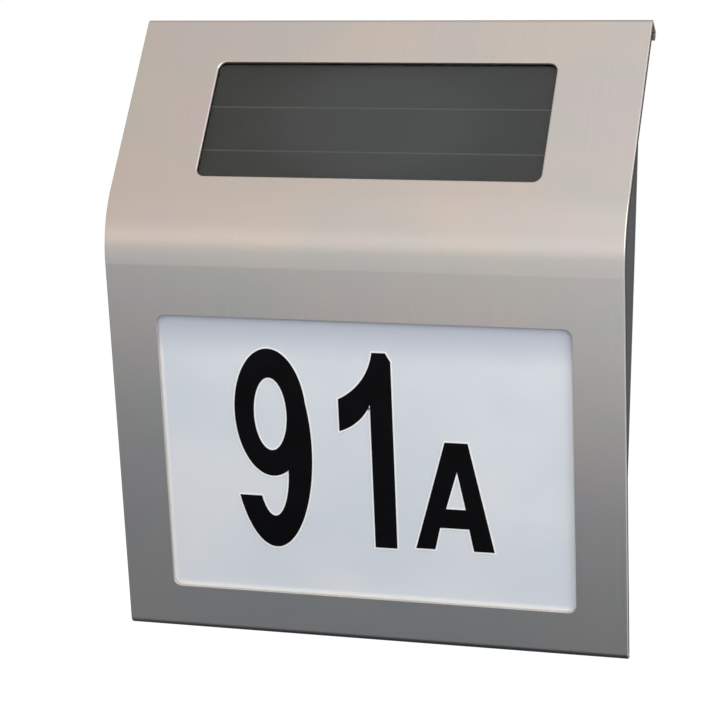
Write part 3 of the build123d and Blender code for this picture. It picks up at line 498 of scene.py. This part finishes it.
def galvanised_steel():
    material, tree, shader, place = start_material("galvanised_steel", Metallic=1.0)
    vector = stretched(tree, place, (ZINC_CRYSTAL, ZINC_CRYSTAL, ZINC_CRYSTAL))
    crystals = add(tree, "ShaderNodeTexVoronoi", {"Vector": vector, "Scale": 1.0})
    tone = add(tree, "ShaderNodeSeparateColor", {0: crystals.outputs["Color"]}).outputs[0]
    scratches = noise(tree, place, (12.0, 0.5, 0.5), 2.0)
    join(tree, shader, Base_Color=two_tone(tree, tone, "a8abae", "b1b4b7"))
    join(tree, shader, Roughness=spread(tree, tone, 0.36, 0.46, 0.0, 1.0))
    bump(tree, shader, scratches, 0.006, 0.3)
    return material


# %% [markdown]
# ## Boards, cell and wires
#
# Circuit boards are glass fibre under solder mask, whose weave shows faintly through the lacquer.
# The AA cell has a printed shrink sleeve, bare of words here, and the leads have PVC insulation.
# They hide behind the covers, but a part that is taken apart should still look made.

# %% Boards, cell and wires
THREAD = 0.5


def solder_mask(name, tone, shade):
    """Lacquered glass fibre board: woven relief of fine threads and a satin gloss."""
    material, tree, shader, place = start_material(
        name, IOR=1.5, Coat_Weight=0.3, Coat_Roughness=0.2
    )
    vector = stretched(tree, place, (THREAD, THREAD, THREAD))
    weave = add(tree, "ShaderNodeTexMagic", {"Vector": vector, "Scale": 1.0}, turbulence_depth=1)
    threads = add(tree, "ShaderNodeSeparateColor", {0: weave.outputs["Color"]}).outputs[0]
    clouds = noise(tree, place, (8.0, 8.0, 8.0), 2.0)
    join(tree, shader, Base_Color=two_tone(tree, spread(tree, clouds, 0.0, 1.0), tone, shade))
    join(tree, shader, Roughness=spread(tree, threads, 0.3, 0.45, 0.0, 1.0))
    bump(tree, shader, threads, 0.01, 0.4)
    return material


def led_package():
    """Diode package: pale yellow, as the phosphor tints it while it is off."""
    return moulded("led_package", "e9e3b8", "dfd690", 0.8, (0.3, 0.45))


def cell_sleeve():
    """Green shrink film round the cell, glossy, with fine shrink lines along it."""
    material, tree, shader, place = start_material(
        "shrink_sleeve", IOR=1.5, Coat_Weight=0.4, Coat_Roughness=0.1
    )
    lines = noise(tree, place, (20.0, 0.7, 0.7), 2.0)
    join(tree, shader, Base_Color=two_tone(tree, spread(tree, lines, 0.0, 1.0), "2f7d4f", "2a7347"))
    join(tree, shader, Roughness=spread(tree, lines, 0.18, 0.26))
    bump(tree, shader, lines, 0.02, 0.4)
    return material


def lead_pvc(name, tone, shade):
    """PVC insulation: soft gloss and a faint extrusion ripple."""
    return moulded(name, tone, shade, 1.0, (0.35, 0.5), 0.02, 1.53)


# %% [markdown]
# ## Dress the solids
#
# Each solid takes the finish of what it is made of. The table goes from finish to pieces, so that
# pieces of one material share it and none is forgotten: the last lines check that.

# %% Assign the finishes
FINISHES = (
    (brushed_stainless, ["front_cover"]),
    (solar_glass, ["solar_glass"]),
    (solar_cell, ["solar_cells"]),
    (backsheet, ["solar_backsheet"]),
    (silicone, ["solar_seal"]),
    (opal_acrylic, ["number_window"]),
    (black_vinyl, ["numeral_9", "numeral_1", "letter_a"]),
    (foam_tape, ["cover_tape", "window_seal", "door_pad"]),
    (grey_abs, ["housing"]),
    (black_rubber, ["back_seal"]),
    (dark_abs, ["back_cover", "battery_door"]),
    (white_abs, ["light_tray"]),
    (knob_plastic, ["switch_slider"]),
    (chip_epoxy, ["controller_chip"]),
    (ferrite, ["inductor"]),
    (zinc_screw, ["back_cover_screws", "led_board_screws", "control_board_screws"]),
    (nickel_steel, ["battery_contact_positive", "battery_contact_negative"]),
    (switch_shell, ["switch_body"]),
    (capacitor_sleeve, ["capacitor"]),
    (galvanised_steel, ["wall_bracket"]),
    (led_package, ["leds"]),
    (cell_sleeve, ["battery_cell"]),
)
BOARDS = (
    ("led_board", "white_solder_mask", "e8eae6", "dde0dc"),
    ("control_board", "green_solder_mask", "1f6a3f", "1a5e37"),
)
LEADS = (("plus", "red_pvc", "a8211c", "96201b"), ("minus", "black_pvc", "1c1c1d", "262627"))


def dress(name, material):
    """Puts one material on a solid of the frame."""
    piece = nodes[name]
    if not piece.material_slots:
        piece.data.materials.append(material)
    for slot in piece.material_slots:
        slot.material = material
    dressed.add(name)


dressed = set()
for finish, names in FINISHES:
    material = finish()
    for name in names:
        dress(name, material)
for name, *look in BOARDS:
    dress(name, solder_mask(*look))
for pole, *look in LEADS:
    material = lead_pvc(*look)
    for run in ("solar", "led", "battery"):
        wire = f"battery_lead_{pole}" if run == "battery" else f"{run}_lead_{pole}"
        dress(wire, material)
print("dressed", len(dressed), "of", len(nodes), "left:", sorted(set(nodes) - dressed))

# %% [markdown]
# ## The cover glass
#
# In the solids the glass lies flat on the cells, so that their faces share one plane. A renderer
# can't tell which of two such faces comes first, and draws patches. Moving the glass away would
# leave an air gap that glares. A real module is bonded, so a copy of the glass stands in, whose
# back face lies a hair behind the front of the cells. The helpers here serve the next cells too.

# %% Cover glass
BONDED = 0.05
WELD = 0.002
FLATNESS = 0.01


def copy_of(name):
    """Editable copy of a solid, with the corners that its faces share welded together."""
    shape = bmesh.new()
    shape.from_mesh(nodes[name].data)
    bmesh.ops.remove_doubles(shape, verts=shape.verts, dist=WELD * MM)
    return shape


def flat_side(shape, sign):
    """The largest face of a shape that looks to the front (-1) or to the back (1)."""
    facing = (face for face in shape.faces if face.normal.y * sign > 0)
    return max(facing, key=lambda face: face.calc_area())


def material_of(name):
    """The material that a solid was dressed in."""
    return nodes[name].material_slots[0].material


def new_object(name, shape, material):
    """Turns a bmesh into an object at the origin."""
    mesh = bpy.data.meshes.new(name)
    shape.to_mesh(mesh)
    shape.free()
    made = bpy.data.objects.new(name, mesh)
    bpy.context.scene.collection.objects.link(made)
    mesh.materials.append(material)
    return made


def finish_piece(name, shape, material, body):
    """Turns a bmesh into a piece of the sign that rides on a body."""
    piece = new_object(name, shape, material)
    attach(piece, body)
    return piece


def cover_glass():
    """Copy of the module's glass, bonded to the cells."""
    shape = copy_of("solar_glass")
    rear = flat_side(shape, 1).normal.copy()
    depth = max(vert.co.dot(rear) for vert in shape.verts)
    for vert in shape.verts:
        if vert.co.dot(rear) > depth - FLATNESS * MM:
            vert.co += rear * BONDED * MM
    bmesh.ops.recalc_face_normals(shape, faces=shape.faces)
    return finish_piece("cover_glass", shape, material_of("solar_glass"), "lamp")


glass = cover_glass()
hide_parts("solar_glass")
print("cover glass vertices:", len(glass.data.vertices))

# %% [markdown]
# ## White margins round the numbers
#
# Each character is stuck on a white film that is cut a little larger, so that a slip of the knife
# leaves no ragged edge. A larger copy could be made by scaling, but that would not keep the margin
# even. So the front face of each character is copied, an inset of the whole face with a negative
# thickness pushes its outline outwards by the same distance everywhere, and an extrusion makes it
# a thin sheet.

# %% Film margins
MARGIN = 0.6
UNDER_FILM = 0.05
FILM_STEP = 0.08
SAME_WAY = 0.999


def keep_faces(shape, wanted):
    """Deletes the faces that a test turns down."""
    others = [face for face in shape.faces if not wanted(face)]
    bmesh.ops.delete(shape, geom=others, context="FACES")


def grow(shape, margin):
    """Pushes the outline of an open surface outwards evenly, and returns the faces of its rim."""
    grown = bmesh.ops.inset_region(
        shape, faces=shape.faces[:], use_boundary=True, use_even_offset=True, thickness=-margin * MM
    )
    return grown["faces"]


def thicken(shape, offset):
    """Makes an open surface a closed sheet, from where it lies to that offset from it."""
    sheet = bmesh.ops.extrude_face_region(shape, geom=shape.faces[:])
    moved = [part for part in sheet["geom"] if isinstance(part, bmesh.types.BMVert)]
    bmesh.ops.translate(shape, verts=moved, vec=offset)
    bmesh.ops.recalc_face_normals(shape, faces=shape.faces)


def film_margin(character, material):
    """White film under a character: its front face, grown evenly and given a thickness."""
    shape = copy_of(character)
    front = flat_side(shape, -1).normal.copy()
    keep_faces(shape, lambda face: face.normal.dot(front) >= SAME_WAY)
    bmesh.ops.delete(shape, geom=grow(shape, MARGIN), context="FACES")
    bmesh.ops.translate(shape, verts=shape.verts, vec=-front * FILM_STEP * MM)
    thicken(shape, -front * UNDER_FILM * MM)
    return finish_piece("margin_" + character, shape, material, "lamp")


under_film = white_film()
for character in ("numeral_9", "numeral_1", "letter_a"):
    piece = film_margin(character, under_film)
    print(piece.name, "faces:", len(piece.data.polygons))

# %% [markdown]
# ## Dark edge strips
#
# A dark rubber strip on each side lies between the steel and the flange of the housing behind it,
# and makes the dark line outside the bright rim of the steel. It could be swept along a curve,
# but the end face of the flange already has the right course, so that face is copied, grown a
# little and given a thickness that stops just inside the steel's edge. Only the two flat faces of
# the strip are grown: they stand out past its sides as thin lips.

# %% Dark edge strips
FLANGE_END = 89.0
STRIP_GROWTH = 0.32
STRIP_DEPTH = 0.52
SIDEWAYS = 0.99


def edge_strip(name, side):
    """Rubber strip over the flange's end on one side, -1 for left and 1 for right."""

    def is_end(face):
        beyond = face.calc_center_median().x * side >= FLANGE_END * MM
        return beyond and face.normal.x * side >= SIDEWAYS

    shape = copy_of("housing")
    keep_faces(shape, is_end)
    grow(shape, STRIP_GROWTH)
    thicken(shape, (side * STRIP_DEPTH * MM, 0, 0))
    return finish_piece(name, shape, material_of("back_seal"), "lamp")


for name, side in (("edge_strip_left", -1), ("edge_strip_right", 1)):
    piece = edge_strip(name, side)
    ends = [round(corner[0] / MM, 2) for corner in (piece.bound_box[0], piece.bound_box[6])]
    print(piece.name, "faces:", len(piece.data.polygons), "x from", ends[0], "to", ends[1])

# %% [markdown]
# ## Floor, light and background
#
# The sign hangs from its bracket, so the floor lies well below it. The picture has a white
# background, but white light from all sides would wash out the steel. So the floor carries painted
# shade: a painted shadow right under the sign, then grey, and pale further out to the front and
# right. The lower panel mirrors that change from bottom to top, and the bottom fold gets a dark
# line.
# Only the camera sees the floor as white, and it still takes a shadow.

# %% Floor
FLOOR_DROP = 120 * MM
FLOOR_RADIUS = 4.0
FLOOR_CORNERS = 96
MOTTLE = 300.0
PALE_SIDE = (0.3, -1.0, 0.0)
GREY_UNTIL, PALE_FROM = 262 * MM, 535 * MM
RIGHT_GREY_UNTIL, RIGHT_PALE_FROM = 150 * MM, 400 * MM
PAINTED_SHADOW_UNDER_SIGN = (45 * MM, 170 * MM)
SIGN_SPAN = (0.5, 1.0, 0.0)
CAMERA_LIFT = 0.85


def floor_paper():
    """Floor with painted shade from grey to pale and a painted shadow under the sign, lifted to
    white for the camera.
    """
    material, tree, shader, place = start_material(
        "painted_shade_floor", Roughness=0.9, Specular_IOR_Level=0.1
    )
    mottle = noise(tree, place, (MOTTLE, MOTTLE, MOTTLE), 3.0)
    along = add(tree, "ShaderNodeVectorMath", {0: place, 1: PALE_SIDE}, operation="DOT_PRODUCT")
    grey = two_tone(tree, mottle, "757c83", "798087")
    pale = two_tone(tree, mottle, "ccd0d1", "d0d4d5")
    right = add(tree, "ShaderNodeSeparateXYZ", {0: place}).outputs["X"]
    # Painted shade: grey near the sign, pale further out to the front and to the right.
    out = spread(tree, along.outputs["Value"], 0.0, 1.0, GREY_UNTIL, PALE_FROM)
    right = spread(tree, right, 0.0, 1.0, RIGHT_GREY_UNTIL, RIGHT_PALE_FROM)
    far = add(tree, "ShaderNodeMath", {0: out, 1: right}, operation="MAXIMUM").outputs[0]
    # Painted shadow: a dark oval right under the sign.
    oval = add(tree, "ShaderNodeVectorMath", {0: place, 1: SIGN_SPAN}, operation="MULTIPLY")
    near = add(tree, "ShaderNodeVectorMath", {0: oval.outputs[0]}, operation="LENGTH")
    under = spread(tree, near.outputs["Value"], 0.0, 1.0, *PAINTED_SHADOW_UNDER_SIGN)
    graded = two_tone(tree, far, grey, pale)
    graded = two_tone(tree, under, "303336", graded)
    join(tree, shader, Base_Color=graded)
    rays = add(tree, "ShaderNodeLightPath").outputs
    seen = {0: rays["Is Camera Ray"], 1: CAMERA_LIFT}
    lift = add(tree, "ShaderNodeMath", seen, operation="MULTIPLY")
    glow = add(tree, "ShaderNodeEmission", {"Strength": lift.outputs[0]})
    both = add(tree, "ShaderNodeAddShader", {0: shader.outputs[0], 1: glow.outputs[0]})
    tree.links.new(both.outputs[0], tree.nodes["Material Output"].inputs["Surface"])
    return material


def make_floor():
    """Round floor below the sign's lowest point."""
    low = cad_box[0].z - FLOOR_DROP
    shape = bmesh.new()
    bmesh.ops.create_circle(shape, cap_ends=True, segments=FLOOR_CORNERS, radius=FLOOR_RADIUS)
    bmesh.ops.translate(shape, verts=shape.verts, vec=(0, 0, low))
    floor = new_object("studio_floor", shape, floor_paper())
    return floor


floor = make_floor()
print("floor at", round(floor.data.vertices[0].co.z, 3))

# %% [markdown]
# ## The sky
#
# The bend shows what the surroundings look like from bright to dark: its bright band is the
# horizon, the darker steel above it is the sky higher up, and the panel below it is the floor. So
# the sky that steel mirrors is brightest near the horizon and dims a little upwards and to the
# left. Behind the sign it is dark, as a wall would be, which draws the thin dark lines along the
# top and right edges. An even white sky would hide the bend. The camera sees it white all over.

# %% Sky
# Ranges are parts of a direction's length, from -1 to 1; levels are parts of full white.
SKY_LEVEL = 0.85
HAZE_TOP = (0.10, 0.31)
LEFT_TO_RIGHT = (-0.38, -0.22)
HIGH_SKY = (0.63, 0.87)
LOW_SKY = (0.89, 1.04)
ZENITH = (0.88, 0.99)
ZENITH_LEVEL = 0.7
BEHIND = (0.1, 0.5)
BEHIND_LEVEL = 0.35


def make_sky():
    """A plain level for the light that falls on things, a graded white for what mirrors it."""
    world = bpy.data.worlds.new("studio_sky")
    world.use_nodes = True
    tree = world.node_tree
    rays = add(tree, "ShaderNodeLightPath").outputs
    view = add(tree, "ShaderNodeTexCoord").outputs["Generated"]
    axes = add(tree, "ShaderNodeSeparateXYZ", {0: view}).outputs
    high = spread(tree, axes["X"], *HIGH_SKY, *LEFT_TO_RIGHT)
    low = spread(tree, axes["X"], *LOW_SKY, *LEFT_TO_RIGHT)
    graded = spread(tree, axes["Z"], low, high, *HAZE_TOP)
    zenith = spread(tree, axes["Z"], 1.0, ZENITH_LEVEL, *ZENITH)
    graded = add(tree, "ShaderNodeMath", {0: graded, 1: zenith}, operation="MULTIPLY").outputs[0]
    behind = spread(tree, axes["Y"], 1.0, BEHIND_LEVEL, *BEHIND)
    graded = add(tree, "ShaderNodeMath", {0: graded, 1: behind}, operation="MULTIPLY").outputs[0]
    white = {0: rays["Is Camera Ray"], 1: rays["Is Transmission Ray"]}
    clear = add(tree, "ShaderNodeMath", white, operation="MAXIMUM")
    glossy = {0: rays["Is Glossy Ray"], 3: SKY_LEVEL, 4: graded}
    mirrored = add(tree, "ShaderNodeMapRange", glossy).outputs[0]
    level = add(tree, "ShaderNodeMapRange", {0: clear.outputs[0], 3: mirrored, 4: 1.0}).outputs[0]
    warmth = two_tone(tree, spread(tree, axes["X"], 0.0, 1.0, *LEFT_TO_RIGHT), "fff3e8", "ffffff")
    tint = two_tone(tree, rays["Is Glossy Ray"], "ffffff", warmth)
    tree.links.new(tint, tree.nodes["Background"].inputs["Color"])
    tree.links.new(level, tree.nodes["Background"].inputs["Strength"])
    bpy.context.scene.world = world


make_sky()
bpy.context.scene.view_settings.view_transform = "Standard"
print("sky at", SKY_LEVEL, "for matt things")

# %% [markdown]
# ## The lamps
#
# One broad softbox stands at the front right, outside everything that the flat panels mirror, so it
# models the pane, the housing and the sheet's right edge without a glare on the steel. A weaker one
# behind the left gives the back and the left side some shape in other views.

# %% Lamps
LAMPS = (
    # name, place and target in mm, size in mm, brightness of its face, tint
    ("right_softbox", (950, -950, 560), (0, 0, -60), (1300, 1200), 2.4, "fffaf5"),
    ("back_softbox", (-700, 1300, 700), (0, 0, -60), (900, 900), 1.2, "f6f9ff"),
)


def make_lamp(name, place, target, size, level, tint):
    """Rectangular soft lamp whose face has that brightness, aimed at a target."""
    data = bpy.data.lights.new(name, "AREA")
    data.shape = "RECTANGLE"
    data.size, data.size_y = (s * MM for s in size)
    data.color = linear(tint)[:3]
    data.energy = level * math.pi * data.size * data.size_y
    lamp = bpy.data.objects.new(name, data)
    bpy.context.scene.collection.objects.link(lamp)
    start, end = Vector(place) * MM, Vector(target) * MM
    turn = (end - start).to_track_quat("-Z", "Y").to_matrix().to_4x4()
    lamp.matrix_world = Matrix.Translation(start) @ turn
    return lamp


for row in LAMPS:
    lamp = make_lamp(*row)
    print(lamp.name, "power", round(lamp.data.energy, 2), "W")
